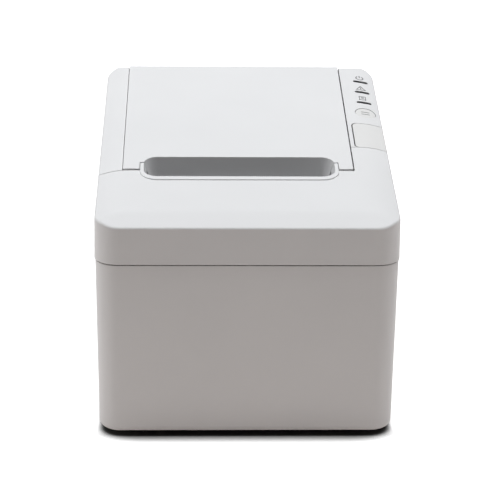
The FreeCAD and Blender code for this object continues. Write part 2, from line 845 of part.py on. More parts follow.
def moving_blade():
    plate = box(-blade_half, blade_half, blade_y0, blade_y1, blade_z, blade_z + blade_t)
    edge_cut = prism([(-blade_half, blade_y1 + 1, blade_z - 1), (0, blade_y1 - 0.8, blade_z - 1),
                      (blade_half, blade_y1 + 1, blade_z - 1), (0, blade_y1 + 1, blade_z - 1)], (0, 0, 4))
    pitch = math.pi * rack_module
    root = rack_module * 1.2
    tip = -rack_module * 0.95
    slope = math.tan(math.radians(20))
    half_root = pitch / 4 - 0.06 + root * slope
    half_tip = pitch / 4 - 0.06 + tip * slope
    tail_y = pinion_y - 8
    outline = [(tongue_x1, blade_y0 + 1, blade_z), (tongue_x1, tail_y, blade_z), (root, tail_y, blade_z)]
    for k in range(-4, 5):
        y = pinion_y + (k + 0.5) * pitch
        for x, dy in ((root, -half_root), (tip, -half_tip), (tip, half_tip), (root, half_root)):
            outline.append((x, y + dy, blade_z))
    outline.append((root, blade_y0 + 1, blade_z))
    tongue = prism(outline, (0, 0, blade_t))
    return in_mech(fuse([plate.cut(edge_cut), tongue]))


def cutter_pinion():
    body = gear(rack_module, rack_teeth, blade_z, blade_z + 2.5, 0.4, 0)
    shaft = mech_rod(blade_z - 5, blade_z + 2.5, 0, 0, 1.0)
    body = fuse([body, shaft])
    body.rotate(V(0, 0, 0), V(1, 1, 1), -120)
    return in_mech(moved(body, -pinion_r, pinion_y, 0))


def cutter_motor():
    body = rod((-pinion_r, pinion_y, plate_z1 - 18), (0, 0, 1), cutter_r, 18)
    return in_mech(body.cut(rod((-pinion_r, pinion_y, plate_z1 - 5), (0, 0, 1), 1.0 + run_fit, 6)))


save("cutter_frame", cutter_frame())
save("moving_blade", moving_blade())
save("cutter_pinion", cutter_pinion())
save("cutter_motor", cutter_motor())

# Paper well that holds the roll
flange_z0 = rib_z
flange_t = 2.0
well_below_top = 27.534
well_y = y_front + roll_run


def paper_well():
    half = bay_half + bay_wall
    outer = rod((path_x - half, well_y, roll_z), (1, 0, 0), bay_r + bay_wall, 2 * half)
    inner = rod((path_x - bay_half, well_y, roll_z), (1, 0, 0), bay_r, 2 * bay_half)
    below = box(-reach, reach, -reach, reach, 0, roll_z)
    y0 = well_y - bay_r - bay_wall
    y1 = well_y + bay_r + bay_wall
    rear_z = top_at(y1 - y_front) - well_below_top
    side = [(0, y0, roll_z - 1), (0, y1, roll_z - 1), (0, y1, rear_z), (0, y0, rib_z)]
    upper = prism(side, (2 * half, 0, 0))
    upper.translate(V(path_x - half, 0, 0))
    body = fuse([outer.common(below), upper])
    hollow = box(path_x - bay_half, path_x + bay_half, y0 + bay_wall, y1 - bay_wall, roll_z, reach)
    body = body.cut(inner.common(below)).cut(hollow)
    run0 = y_front + rib_runs[0] - 2
    run1 = y_front + rib_runs[-1] + rib_t + 2
    wings = []
    for x0, x1 in ((-cavity_x + touch, path_x - half + 0.5), (path_x + half - 0.5, cavity_x - touch)):
        wings.append(box(x0, x1, run0, run1, flange_z0, flange_z0 + flange_t))
    return fuse([body] + wings)


def paper_end_sensor():
    y = well_y - bay_r - bay_wall
    return box(path_x + 10, path_x + 18, y - 5, y, roll_z - 2, roll_z + 8)


def near_end_sensor():
    x = path_x + bay_half + bay_wall
    return box(x, x + 6, well_y - 8, well_y + 4, roll_z - 30, roll_z - 20)


save("paper_well", paper_well())
save("paper_end_sensor", paper_end_sensor())
save("near_end_sensor", near_end_sensor())

# Buttons, lamps and panel board
board_w = 12.0


def light_pipe(run):
    return lamp_slot(run, 0, -5, 6).common(upper_solid(lamp_recess))


def panel_board():
    run0 = feed_run - 6.3
    run1 = lamp_runs[-1] + 9.4
    x0 = lamp_x - board_w / 2
    return panel_box(x0, x0 + board_w - 1.5, run0, run1, panel_deep, panel_deep + 1.2)


def panel_led(run):
    return panel_box(lamp_x - 1.6, lamp_x + 1.6, run - 0.8, run + 0.8, panel_deep - 1.0, panel_deep)


def feed_switch():
    base = panel_box(feed_x - 3, feed_x + 3, feed_run - 3, feed_run + 3, panel_deep - 2.8, panel_deep)
    return fuse([base, panel_rod(feed_x, feed_run, panel_deep - 3.4, panel_deep - 2.8, 1.6)])


def feed_button():
    cap = panel_rod(feed_x, feed_run, -5, 3.9, feed_r).common(upper_solid(feed_sink))
    flange = panel_rod(feed_x, feed_run, 3.4, 4.2, feed_flange)
    stem = panel_rod(feed_x, feed_run, 3.9, 4.6, 1.6)
    return fuse([cap, flange.common(upper_solid(wall + touch)), stem])


def release_lips():
    """Inner edge that closes the gap below the key's side, and its joint to the key."""
    low = release_plan(0, -release_corner, release_skirt + release_lip)
    low = low.cut(release_plan(release_in, release_in, release_skirt - release_lip))
    high = low.common(release_plan(0, 0, release_skirt - 1))
    side = box(latch_x + 5, reach, -reach, reach, 0, reach)
    face = upper_solid(wall + touch)
    core = upper_solid(wall + touch + release_lip_t)
    lip = low.common(side).common(face.cut(core))
    neck = high.common(side).common(upper_solid(wall - touch).cut(core))
    return [lip, neck]


def release_button():
    cap = release_plan(0, 0, release_skirt).common(shell)
    stem = panel_box(latch_x + 5, latch_x + 8.5, latch_run0 + 1, latch_run1 - 1, 1, latch_deep - 1.8)
    rib = panel_box(release_x + 1.5, latch_x + 6, latch_run0 + 1, latch_run0 + 3, 1, 5)
    return fuse([cap, stem.common(skin), rib.common(skin)] + release_lips())


def latch_hook():
    y0 = along(latch_run0)
    size = along(latch_run1 - latch_run0)
    hub = rod((latch_x, y0, -latch_deep), (0, 1, 0), 3.0, size)
    tail = box(latch_x, latch_x + 8, y0, y0 + size, -latch_deep - 0.5, -latch_deep + 1.5)
    arm = box(latch_x - 3, latch_x - 1, y0, y0 + size, -latch_deep, -latch_deep + 9)
    nose = box(lid_x1 + 0.1, latch_x - 1, y0, y0 + size, -latch_deep + 6.5, -latch_deep + 9)
    body = fuse([hub, tail, arm, nose])
    body = body.cut(rod((latch_x, y0, -latch_deep), (0, 1, 0), latch_pin_r + run_fit, size))
    return on_top(body)


save("light_pipes", Part.makeCompound([light_pipe(run) for run in lamp_runs]))
save("panel_board", panel_board())
save("panel_leds", Part.makeCompound([panel_led(run) for run in lamp_runs]))
save("feed_switch", feed_switch())
save("feed_button", feed_button())
save("release_button", release_button())
save("latch_hook", latch_hook())
save("latch_pin", latch_pin())

# Main board and rear sockets
board_top = board_z + board_t
board_rear = cavity_y1 - plate_steel
socket_face = cavity_y1 + 2.2
socket_w = {"rocker": 12.0, "power": 14.0, "drawer": 13.0, "usb": 12.0, "lan": 16.0, "serial": 31.0}
socket_h = {"rocker": 19.0, "power": 13.0, "drawer": 12.0, "usb": 11.0, "lan": 13.5, "serial": 12.5}
socket_room = io_x1 - io_x0 - 2 * io_edge
socket_gap = (socket_room - sum(socket_w.values())) / (len(socket_w) + 1)
socket_x = {}
socket_end = io_x0 + io_edge
for name, size in socket_w.items():
    socket_x[name] = socket_end + socket_gap + size / 2
    socket_end += socket_gap + size
usb_x = socket_x["usb"]
serial_x = socket_x["serial"]
power_x = socket_x["power"]
rocker_x = socket_x["rocker"]
jack_gap = 24.99
jack_r = 2.4
jack_hole = 1.42


def main_board():
    body = box(board_x0, board_x1, y_front + board_run0, board_rear, board_z, board_top)
    for x, y in post_spots:
        body = body.cut(rod((x, y, 0), (0, 0, 1), 1.6, 30))
    return body


def board_screw(x, y):
    head = rod((x, y, board_top), (0, 0, 1), 2.6, 1.6)
    shank = rod((x, y, board_z - 3), (0, 0, 1), 1.1, board_top - board_z + 3.5)
    return fuse([head, shank])


def socket(x, w, h, back):
    return box(x - w / 2, x + w / 2, socket_face - back, socket_face, board_top, board_top + h)


def socket_holes(grow):
    shapes = []
    for name, size in socket_w.items():
        shapes.append(socket(socket_x[name], size + grow, socket_h[name] + grow / 2, 6))
    return shapes


def io_plate():
    body = box(io_x0, io_x1, board_rear, cavity_y1, io_z0, io_z1)
    for hole in socket_holes(0.4):
        body = body.cut(hole)
    return body


def usb_socket():
    body = socket(usb_x, socket_w["usb"], socket_h["usb"], 16)
    hollow = box(usb_x - 4.6, usb_x + 4.6, socket_face - 9, socket_face + 1, board_top + 1.2, board_top + 9.8)
    tongue = box(usb_x - 2.8, usb_x + 2.8, socket_face - 10, socket_face - 4.6, board_top + 4, board_top + 7)
    return fuse([body.cut(hollow), tongue])


def jack(name, back, hole_w, hole_h, hole_d):
    x = socket_x[name]
    body = socket(x, socket_w[name], socket_h[name], back)
    z = board_top + 1.6
    hollow = box(x - hole_w / 2, x + hole_w / 2, socket_face - hole_d, socket_face + 1, z, z + hole_h)
    clip = box(x - 3, x + 3, socket_face - hole_d, socket_face + 1, z + hole_h - 0.1, z + hole_h + 2.4)
    return body.cut(hollow).cut(clip)


def power_socket():
    body = socket(power_x, socket_w["power"], socket_h["power"], 14)
    z = board_top + 6.6
    hollow = rod((power_x, socket_face - 9, z), (0, 1, 0), 4.6, 12)
    pins = []
    for a in (90, 210, 330):
        x = power_x + 2.6 * math.cos(math.radians(a))
        pz = z + 2.6 * math.sin(math.radians(a))
        pins.append(rod((x, socket_face - 10, pz), (0, 1, 0), 0.6, 5))
    return fuse([body.cut(hollow)] + pins)


def serial_port():
    z = board_top + 6.2
    body = socket(serial_x, socket_w["serial"], socket_h["serial"], 12)
    shell_out = box(serial_x - 8.4, serial_x + 8.4, socket_face - 1, socket_face + 0.6, z - 4.2, z + 4.2)
    hollow = box(serial_x - 7.6, serial_x + 7.6, socket_face - 6, socket_face + 2, z - 3.4, z + 3.4)
    body = fuse([body, shell_out]).cut(hollow)
    pins = []
    for k in range(5):
        pins.append(rod((serial_x - 5.48 + 2.74 * k, socket_face - 6.5, z + 1.42), (0, 1, 0), 0.5, 2.0))
    for k in range(4):
        pins.append(rod((serial_x - 4.11 + 2.74 * k, socket_face - 6.5, z - 1.42), (0, 1, 0), 0.5, 2.0))
    body = fuse([body] + pins)
    for s in (-1, 1):
        body = body.cut(rod((serial_x + s * jack_gap / 2, socket_face - 8, z), (0, 1, 0), 1.6, 12))
    return body


def jackscrew(s):
    z = board_top + 6.2
    x = serial_x + s * jack_gap / 2
    points = []
    for k in range(6):
        a = math.radians(60 * k + 30)
        points.append((x + jack_r * math.cos(a), socket_face, z + jack_r * math.sin(a)))
    head = prism(points, (0, 1.5, 0))
    shank = rod((x, socket_face - 6, z), (0, 1, 0), 1.6, 6)
    return fuse([head, shank]).cut(rod((x, socket_face - 4, z), (0, 1, 0), jack_hole, 8))


rocker_z = board_top + 9.5
rocker_w = 8.6
rocker_h = 14.0


def switch_housing():
    body = socket(rocker_x, socket_w["rocker"], socket_h["rocker"], 14)
    x = rocker_w / 2 + touch
    z = rocker_h / 2 + 0.8
    back = socket_face - 9
    hollow = box(rocker_x - x, rocker_x + x, back, socket_face + 1, rocker_z - z, rocker_z + z)
    pins = []
    for x in (rocker_x - rocker_w / 2 - 0.4, rocker_x + rocker_w / 2 - 0.6):
        pins.append(rod((x, socket_face - 4, rocker_z), (1, 0, 0), 1.0, 2.0))
    return fuse([body.cut(hollow)] + pins)


def power_rocker():
    y = socket_face - 4
    upper = [(0, y - 2.5, rocker_z + 5.6), (0, y + 2.6, rocker_z + 6.6), (0, y + 3.6, rocker_z + 6.4)]
    lower = [(0, y + 3.6, rocker_z - 6.4), (0, y + 2.6, rocker_z - 6.6), (0, y - 2.5, rocker_z - 5.6)]
    side = upper + [(0, y + 2.2, rocker_z)] + lower
    body = prism(side, (rocker_w, 0, 0))
    body.translate(V(rocker_x - rocker_w / 2, 0, 0))
    return body.cut(rod((rocker_x - 10, y, rocker_z), (1, 0, 0), 1.0 + run_fit, 20))


def capacitor(x):
    body = rod((x, y_front + 76, board_top), (0, 0, 1), 4.0, 11)
    return soften(body, 0.5, lambda m, n: m.z > board_top + 10)


def driver_chip(x):
    return box(x, x + 7, y_front + 80, y_front + 88, board_top, board_top + 1.4)


save("main_board", main_board())
save("board_screws", Part.makeCompound([board_screw(x, y) for x, y in post_spots]))
save("io_plate", io_plate())
save("usb_socket", usb_socket())
save("lan_socket", jack("lan", 20, 12.2, 8.2, 12))
save("drawer_socket", jack("drawer", 16, 9.8, 6.8, 11))
save("power_socket", power_socket())
save("serial_port", serial_port())
save("serial_jackscrews", Part.makeCompound([jackscrew(s) for s in (-1, 1)]))
save("switch_housing", switch_housing())
save("power_rocker", power_rocker())
save("power_capacitors", Part.makeCompound([capacitor(board_x0 + x) for x in (16.0, 27.0)]))
save("processor_chip", box(-6, 8, y_front + 84, y_front + 98, board_top, board_top + 1.6))
save("driver_chips", Part.makeCompound([driver_chip(board_x1 - x) for x in (44.0, 32.0)]))
save("buzzer", rod((board_x1 - 14, y_front + 78, board_top), (0, 0, 1), 6.0, 8))
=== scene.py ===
# %% [markdown]
# # A desktop receipt printer, dressed for its picture
# The solids come from the imported frame: every casing, key, gear and socket already stands in its
# place, in metres, with the front facing -Y. This script gives each one a finish, prints the small
# marks beside the lamps, and sets up the studio. The frame is loaded first, and measured before
# anything is added.

# %% Load the frame
import json
import math
import bpy
import numpy as np
from mathutils import Matrix, Vector


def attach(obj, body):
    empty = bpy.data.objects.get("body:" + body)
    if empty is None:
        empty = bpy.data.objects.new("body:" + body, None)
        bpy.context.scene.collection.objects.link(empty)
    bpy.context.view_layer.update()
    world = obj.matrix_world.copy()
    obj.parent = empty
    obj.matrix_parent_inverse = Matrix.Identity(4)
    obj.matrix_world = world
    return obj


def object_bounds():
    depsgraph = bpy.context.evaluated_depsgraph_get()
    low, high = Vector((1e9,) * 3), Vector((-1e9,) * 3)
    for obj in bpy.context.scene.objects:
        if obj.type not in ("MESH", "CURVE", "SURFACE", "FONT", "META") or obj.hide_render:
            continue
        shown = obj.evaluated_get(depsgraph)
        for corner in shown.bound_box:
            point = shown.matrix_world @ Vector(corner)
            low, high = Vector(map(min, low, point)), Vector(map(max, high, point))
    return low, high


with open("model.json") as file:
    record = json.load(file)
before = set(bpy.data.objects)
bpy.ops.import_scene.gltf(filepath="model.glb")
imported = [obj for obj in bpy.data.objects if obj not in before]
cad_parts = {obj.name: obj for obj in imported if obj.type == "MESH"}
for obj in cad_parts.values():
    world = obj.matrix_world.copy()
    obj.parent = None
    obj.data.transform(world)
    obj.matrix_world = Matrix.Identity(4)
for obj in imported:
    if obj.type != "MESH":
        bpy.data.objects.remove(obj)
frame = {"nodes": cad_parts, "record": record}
nodes = frame["nodes"]
box_before = [list(corner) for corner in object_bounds()]

# %% [markdown]
# ## Writing shader sums as sums
# A shader is a small calculation. Drawn as boxes and wires it is hard to read, so one class wraps a
# socket and lets plus, minus and times build the Math boxes. Everything else - noise, bevel, bump,
# colour mixing - comes from one method that takes a node type, its settings and its inputs.

# %% A socket that can be calculated with
class Wire:
    """One output socket of a material's node tree, usable in ordinary sums."""

    def __init__(self, tree, socket):
        self.tree, self.socket = tree, socket

    def sum(self, operation, first, second):
        return make(self.tree, "ShaderNodeMath", {"operation": operation}, {0: first, 1: second})

    def __add__(self, other):
        return self.sum("ADD", self, other)

    def __sub__(self, other):
        return self.sum("SUBTRACT", self, other)

    def __mul__(self, other):
        return self.sum("MULTIPLY", self, other)

    def __truediv__(self, other):
        return self.sum("DIVIDE", self, other)

    def __pow__(self, other):
        return self.sum("POWER", self, other)

    def __rsub__(self, other):
        return self.sum("SUBTRACT", other, self)

    def __rtruediv__(self, other):
        return self.sum("DIVIDE", other, self)

    __radd__ = __add__
    __rmul__ = __mul__

    def clip(self, low, high):
        """Limits the value to the range low..high."""
        return self.sum("MINIMUM", self.sum("MAXIMUM", self, low), high)

    def ramp(self, low, high):
        """0 at low and below, 1 at high and above, straight in between."""
        return ((self - low) / (high - low)).clip(0.0, 1.0)


def plug(tree, socket, value):
    """Joins a Wire to a socket, or sets the socket to a constant."""
    if isinstance(value, Wire):
        tree.links.new(value.socket, socket)
    else:
        socket.default_value = value


def make(tree, kind, settings=None, inputs=None, output=0):
    """Adds one node of any type and returns one of its outputs."""
    node = tree.nodes.new(kind)
    for name, value in (settings or {}).items():
        setattr(node, name, value)
    for key, value in (inputs or {}).items():
        plug(tree, node.inputs[key], value)
    return Wire(tree, node.outputs[output])


print("shader sums ready")

# %% [markdown]
# ## The shared recipe behind every finish
# Each finish starts from where a point is on the object (Object coordinates, so nothing slides when
# a part moves), adds noise at one or two sizes, and uses that noise to shift colour and roughness a
# little and to raise a fine bump. A real moulded or machined surface is never one flat value, and a
# few percent of drift is what stops it looking like paint poured from one tin.

# %% Helpers for finishes
def begin(name):
    """A new material: its node tree, its Principled shader and its Object coordinates."""
    material = bpy.data.materials.new(name)
    material.use_nodes = True
    tree = material.node_tree
    shader = next(n for n in tree.nodes if n.type == "BSDF_PRINCIPLED")
    where = make(tree, "ShaderNodeTexCoord", output="Object")
    return material, tree, shader, where


def noise(tree, where, scale, detail=2.0):
    """Noise between 0 and 1; scale counts its bumps per metre."""
    inputs = {"Vector": where, "Scale": scale, "Detail": detail, "Roughness": 0.55}
    return make(tree, "ShaderNodeTexNoise", inputs=inputs)


def stretch(tree, where, x, y, z):
    """Squeezes the coordinates, so that noise read there comes out as long streaks."""
    inputs = {0: where, 1: (x, y, z)}
    return make(tree, "ShaderNodeVectorMath", {"operation": "MULTIPLY"}, inputs)


def mix(tree, amount, first, second):
    """Blends two colours: amount 0 gives the first and 1 the second."""
    inputs = {0: amount, 6: rgba(first), 7: rgba(second)}
    return make(tree, "ShaderNodeMix", {"data_type": "RGBA"}, inputs, 2)


def rgba(colour):
    """Adds the alpha value to a written colour and leaves a Wire as it is."""
    return colour if isinstance(colour, Wire) else (*colour, 1.0)


def shade(colour, factor):
    """A darker or lighter copy of a written colour."""
    return tuple(min(1.0, channel * factor) for channel in colour)


def bumped(tree, height, depth, normal=None):
    """A normal tilted by a height of so many metres."""
    inputs = {"Height": height, "Distance": depth, "Strength": 1.0}
    if normal is not None:
        inputs["Normal"] = normal
    return make(tree, "ShaderNodeBump", inputs=inputs)


print("finish helpers ready")

# %% [markdown]
# ## Moulded casing plastic
# The shell is injection-moulded ABS in a very light grey. The mould is spark-eroded, which leaves a
# fine even grain of about a quarter of a millimetre: it is here as a shallow bump. The Bevel node
# rounds the light on sharp edges by a third of a millimetre, as a real mould cannot leave a knife
# edge, and a slow noise drifts the tone by two percent, as flow in the mould does. An occlusion
# value, which is low only inside a narrow gap, turns the plastic brown there: this is painted shade
# in the seams, where the casing shades itself.

# %% Casing and key plastic
# Painted shade in the seams: the brown below darkens the plastic inside narrow gaps.
GAP_SHADE_BROWN = (0.09, 0.07, 0.06)
GAP_REACH = 0.0022
SHUT_IN, OPEN_AIR = 0.02, 0.26


def painted_gap_shade(tree, colour):
    """Painted shade: fades a colour to brown where nearly all directions are blocked within the gap's
    reach.
    """
    settings = {"samples": 8}
    open_sky = make(tree, "ShaderNodeAmbientOcclusion", settings, {"Distance": GAP_REACH}, "AO")
    return mix(tree, open_sky.ramp(SHUT_IN, OPEN_AIR), GAP_SHADE_BROWN, colour)


def moulded(name, tone, rough, grain, edge):
    """Matte moulded plastic: grain depth and edge rounding in metres."""
    material, tree, shader, where = begin(name)
    drift = noise(tree, where, scale=22.0)
    fine = noise(tree, where, scale=3800.0, detail=1.0)
    soft = make(tree, "ShaderNodeBevel", {"samples": 4}, {"Radius": edge})
    colour = mix(tree, drift.ramp(0.3, 0.7), shade(tone, 0.985), shade(tone, 1.01))
    # Painted shade: inside a narrow seam the colour is turned brown.
    plug(tree, shader.inputs["Base Color"], painted_gap_shade(tree, colour))
    plug(tree, shader.inputs["Roughness"], rough + 0.08 * (drift - 0.5) + 0.06 * (fine - 0.5))
    plug(tree, shader.inputs["Normal"], bumped(tree, fine, grain, soft))
    shader.inputs["Specular IOR Level"].default_value = 0.4
    return material


LIGHT_GREY, KEY_CREAM = (0.80, 0.80, 0.805), (0.78, 0.775, 0.765)
MID_GREY, NEAR_BLACK = (0.30, 0.30, 0.31), (0.022, 0.022, 0.024)
casing = moulded("casing_plastic", LIGHT_GREY, rough=0.52, grain=0.000016, edge=0.0003)
button = moulded("key_plastic", KEY_CREAM, rough=0.42, grain=0.000006, edge=0.0004)
inner_grey = moulded("inner_plastic", MID_GREY, rough=0.5, grain=0.000012, edge=0.0003)
dark = moulded("dark_plastic", NEAR_BLACK, rough=0.45, grain=0.00001, edge=0.0002)
print("moulded plastics ready")

# %% [markdown]
# ## Steel and aluminium
# Rolled and ground steel carries streaks along the way it was worked. They could be drawn as lines,
# but noise read from coordinates squeezed in one direction gives them with no pattern that repeats.
# The aluminium heat sink is extruded along X, so its streaks run that way too.

# %% Bare metals
ALONG_STREAK = 40.0


def brushed(name, tone, rough, streak):
    """Bare worked metal with streaks along X; streak counts them per metre across."""
    material, tree, shader, where = begin(name)
    lines = noise(tree, stretch(tree, where, ALONG_STREAK, streak, streak), scale=1.0, detail=3.0)
    cloud = noise(tree, where, scale=90.0)
    plug(tree, shader.inputs["Base Color"], mix(tree, lines, shade(tone, 0.86), shade(tone, 1.08)))
    plug(tree, shader.inputs["Roughness"], rough + 0.16 * (lines - 0.5) + 0.1 * (cloud - 0.5))
    plug(tree, shader.inputs["Normal"], bumped(tree, lines, depth=0.000008))
    shader.inputs["Metallic"].default_value = 1.0
    return material


steel = brushed("ground_steel", tone=(0.56, 0.56, 0.57), rough=0.32, streak=2600.0)
alu = brushed("extruded_aluminium", tone=(0.68, 0.69, 0.71), rough=0.38, streak=1500.0)
print("bare metals ready")

# %% [markdown]
# ## Powder coat
# The bottom plate, the connector plate and the motors' cans are coated with powder that was melted
# onto the steel. It has no streaks: as it flows it keeps a shallow ripple, like the skin of an
# orange, which is a bump with bumps under a millimetre wide.

# %% Powder coat
def powder(name, tone):
    """Powder coat: a semi-matte colour with an orange-peel ripple."""
    material, tree, shader, where = begin(name)
    peel = noise(tree, where, scale=1400.0, detail=2.0)
    cloud = noise(tree, where, scale=40.0)
    plug(tree, shader.inputs["Base Color"], mix(tree, cloud, shade(tone, 0.9), shade(tone, 1.1)))
    plug(tree, shader.inputs["Roughness"], 0.42 + 0.12 * (cloud - 0.5))
    plug(tree, shader.inputs["Normal"], bumped(tree, peel, depth=0.00002))
    return material


painted = powder("powder_coat", tone=(0.16, 0.165, 0.17))
print("powder coat ready")

# %% [markdown]
# ## Rubber
# The platen's sleeve and the feet are black rubber. It is dull, and a pale bloom comes to its surface
# in clouds, so one slow noise both lightens the colour and changes the roughness.

# %% Rubber
def rubber_finish():
    """Dull black rubber with a pale bloom of dust."""
    material, tree, shader, where = begin("rubber_black")
    bloom = noise(tree, where, scale=160.0, detail=4.0)
    fine = noise(tree, where, scale=5200.0, detail=1.0)
    colour = mix(tree, bloom.ramp(0.35, 0.75), (0.018, 0.018, 0.018), (0.04, 0.039, 0.038))
    plug(tree, shader.inputs["Base Color"], colour)
    plug(tree, shader.inputs["Roughness"], 0.78 + 0.16 * (bloom - 0.5))
    plug(tree, shader.inputs["Normal"], bumped(tree, fine, depth=0.00002))
    return material


rubber = rubber_finish()
print("rubber ready")

# %% [markdown]
# ## Gear plastic
# The gears are moulded from acetal, a milky plastic that feels a little waxy. It has no grain, so the
# flow marks of the moulding alone break up its highlight.

# %% Acetal
def acetal():
    """Milky moulded acetal: smooth and slightly waxy."""
    material, tree, shader, where = begin("gear_acetal")
    flow = noise(tree, where, scale=240.0, detail=3.0)
    colour = mix(tree, flow, (0.70, 0.70, 0.64), (0.78, 0.78, 0.73))
    plug(tree, shader.inputs["Base Color"], colour)
    plug(tree, shader.inputs["Roughness"], 0.3 + 0.14 * (flow - 0.5))
    plug(tree, shader.inputs["Normal"], bumped(tree, flow, depth=0.00001))
    return material


gear = acetal()
print("acetal ready")

# %% [markdown]
# ## Circuit boards
# A board is green lacquer over copper: where a track runs beneath, it is lighter and stands a little
# higher. The tracks could be drawn one by one, but these boards show only when the casing is open,
# so rings around the cells of a square-cornered cell texture stand in for them.

# %% Circuit boards
def circuit_board():
    """Green lacquer, lighter where a copper track runs beneath it.

    A point is on a track where its distance to the nearest cell middle, counted along the longer of
    the two axes, lies between 0.32 and 0.44 of a cell, with soft edges.
    """
    material, tree, shader, where = begin("board_lacquer")
    cells = {"Vector": stretch(tree, where, 1.0, 1.0, 0.0), "Scale": 420.0, "Randomness": 0.85}
    block = make(tree, "ShaderNodeTexVoronoi", {"distance": "CHEBYCHEV"}, cells, "Distance")
    track = block.ramp(0.30, 0.34) * (1.0 - block.ramp(0.42, 0.46))
    cloud = noise(tree, where, scale=120.0)
    colour = mix(tree, track, (0.012, 0.09, 0.04), (0.03, 0.2, 0.09))
    plug(tree, shader.inputs["Base Color"], colour)
    plug(tree, shader.inputs["Roughness"], 0.24 + 0.1 * cloud + 0.05 * track)
    plug(tree, shader.inputs["Normal"], bumped(tree, track, depth=0.00002))
    return material


board = circuit_board()
print("board lacquer ready")

# %% [markdown]
# ## Ceramic and lamp windows
# The print head's strip and the small lamps' bodies are off-white ceramic under a smooth glaze, with
# fine specks. The lamp windows are smoked plastic that looks black until it is lit, so a near-black
# colour with a smooth surface is enough, and no light has to pass through it.

# %% Ceramic and lamp windows
def glazed():
    """Off-white glazed ceramic with a faint speckle."""
    material, tree, shader, where = begin("ceramic_glaze")
    speck = noise(tree, where, scale=1900.0, detail=3.0)
    colour = mix(tree, speck.ramp(0.6, 0.75), (0.70, 0.69, 0.62), (0.52, 0.5, 0.44))
    plug(tree, shader.inputs["Base Color"], colour)
    plug(tree, shader.inputs["Roughness"], 0.16 + 0.12 * speck)
    return material


def smoked():
    """Smoked lamp window: near black and fairly glossy, with slightly lighter clouds in it."""
    material, tree, shader, where = begin("lamp_smoke")
    depth = noise(tree, where, scale=900.0, detail=2.0)
    colour = mix(tree, depth, (0.012, 0.012, 0.014), (0.03, 0.03, 0.034))
    plug(tree, shader.inputs["Base Color"], colour)
    plug(tree, shader.inputs["Roughness"], 0.22 + 0.1 * depth)
    shader.inputs["Specular IOR Level"].default_value = 0.2
    return material


ceramic, lamp = glazed(), smoked()
print("ceramic and lamp windows ready")

# %% [markdown]
# ## Giving every solid its finish
# The record already says which material slot each node belongs to, so the finish is looked up from
# there and not written a second time. A node only ever has its material slots changed: its shape
# stays as it was drawn.

# %% Assign finishes by slot
finishes = {
    "casing": casing, "button": button, "inner_grey": inner_grey, "dark": dark, "lamp": lamp,
    "steel": steel, "painted": painted, "alu": alu, "rubber": rubber, "gear": gear,
    "board": board, "ceramic": ceramic,
}


def dress(obj, material):
    """Puts one material in all of an object's slots."""
    if not obj.material_slots:
        obj.data.materials.append(material)
    for place in obj.material_slots:
        place.material = material


for part in frame["record"]["subparts"]:
    dress(nodes[part["node"]], finishes[part["material_slot"]])

# %% [markdown]
# ## The surface that the marks lie on
# Three small grey pictures are pad-printed on the right strip, one behind each lamp window, and one
# on the feed key. They could be painted by the material, but ink made as a mesh stays sharp at any
# size. The strip slopes and is crowned, so a function first says where a point drawn on it lies in
# space.

# %% The strip's surface
SLOPE = math.radians(12.0)
FRONT_Y, TOP_Z = box_before[0][1], 0.1091
CROWN_FLAT, CROWN_R = 0.057, 0.042


def on_strip(x, run, lift):
    """Points on the crowned top: the sloping plane, dropped along its normal by the crown's arc.

    The plane rises by tan(slope) per metre of run back from the front face. Past the flat part the
    surface falls by R minus the square root of R squared minus the overshoot squared.
    """
    over = np.maximum(np.abs(x) - CROWN_FLAT, 0.0)
    height = lift - (CROWN_R - np.sqrt(CROWN_R**2 - over**2))
    y = FRONT_Y + run - height * math.sin(SLOPE)
    z = TOP_Z + run * math.tan(SLOPE) + height * math.cos(SLOPE)
    return np.stack([x, y, z], axis=-1)


print("strip's middle line starts at", on_strip(np.zeros(1), np.zeros(1), 0.0).round(4).tolist())

# %% [markdown]
# ## A stroke of ink
# Each mark is a set of strokes. A stroke is a thin flat ribbon: a rectangle carried along a path. The
# path is drawn flat, cut into short parts so that it can bend, widened to left and right, and only
# then laid on the strip, so the ink follows the surface. Its lower side is sunk a little below the
# surface, so that no gap shows under it.

# %% A ribbon and its quads
INK_LIFT, INK_SINK = 0.00005, 0.00015
SHARPEST = 0.3


def ribbon(path, width, closed):
    """Left and right edges of a flat ribbon: the path moved half a width along its own normal.

    The normal at a point is the path's tangent (central difference) turned a quarter turn, and at a
    corner it is lengthened by one over the cosine of half the bend, so that the width is kept. The
    cosine stops at SHARPEST, so that a very sharp corner gets no long spike.
    """
    before = np.roll(path, 1, 0) if closed else np.vstack([2 * path[:1] - path[1:2], path[:-1]])
    after = np.roll(path, -1, 0) if closed else np.vstack([path[1:], 2 * path[-1:] - path[-2:-1]])
    one, two = path - before, after - path
    one /= np.linalg.norm(one, axis=1, keepdims=True)
    two /= np.linalg.norm(two, axis=1, keepdims=True)
    middle = one + two
    middle /= np.linalg.norm(middle, axis=1, keepdims=True)
    half_bend = np.clip((middle * two).sum(1, keepdims=True), SHARPEST, 1.0)
    normal = np.stack([-middle[:, 1], middle[:, 0]], 1) / half_bend
    return path + normal * width / 2, path - normal * width / 2


def dense(path, closed, parts=8):
    """The same path with every straight piece cut into equal parts, so that it can bend."""
    ends = np.vstack([path, path[:1]]) if closed else path
    step = np.linspace(0.0, 1.0, parts, endpoint=False)[None, :, None]
    points = (ends[:-1, None] * (1 - step) + ends[1:, None] * step).reshape(-1, 2)
    return points if closed else np.vstack([points, ends[-1:]])


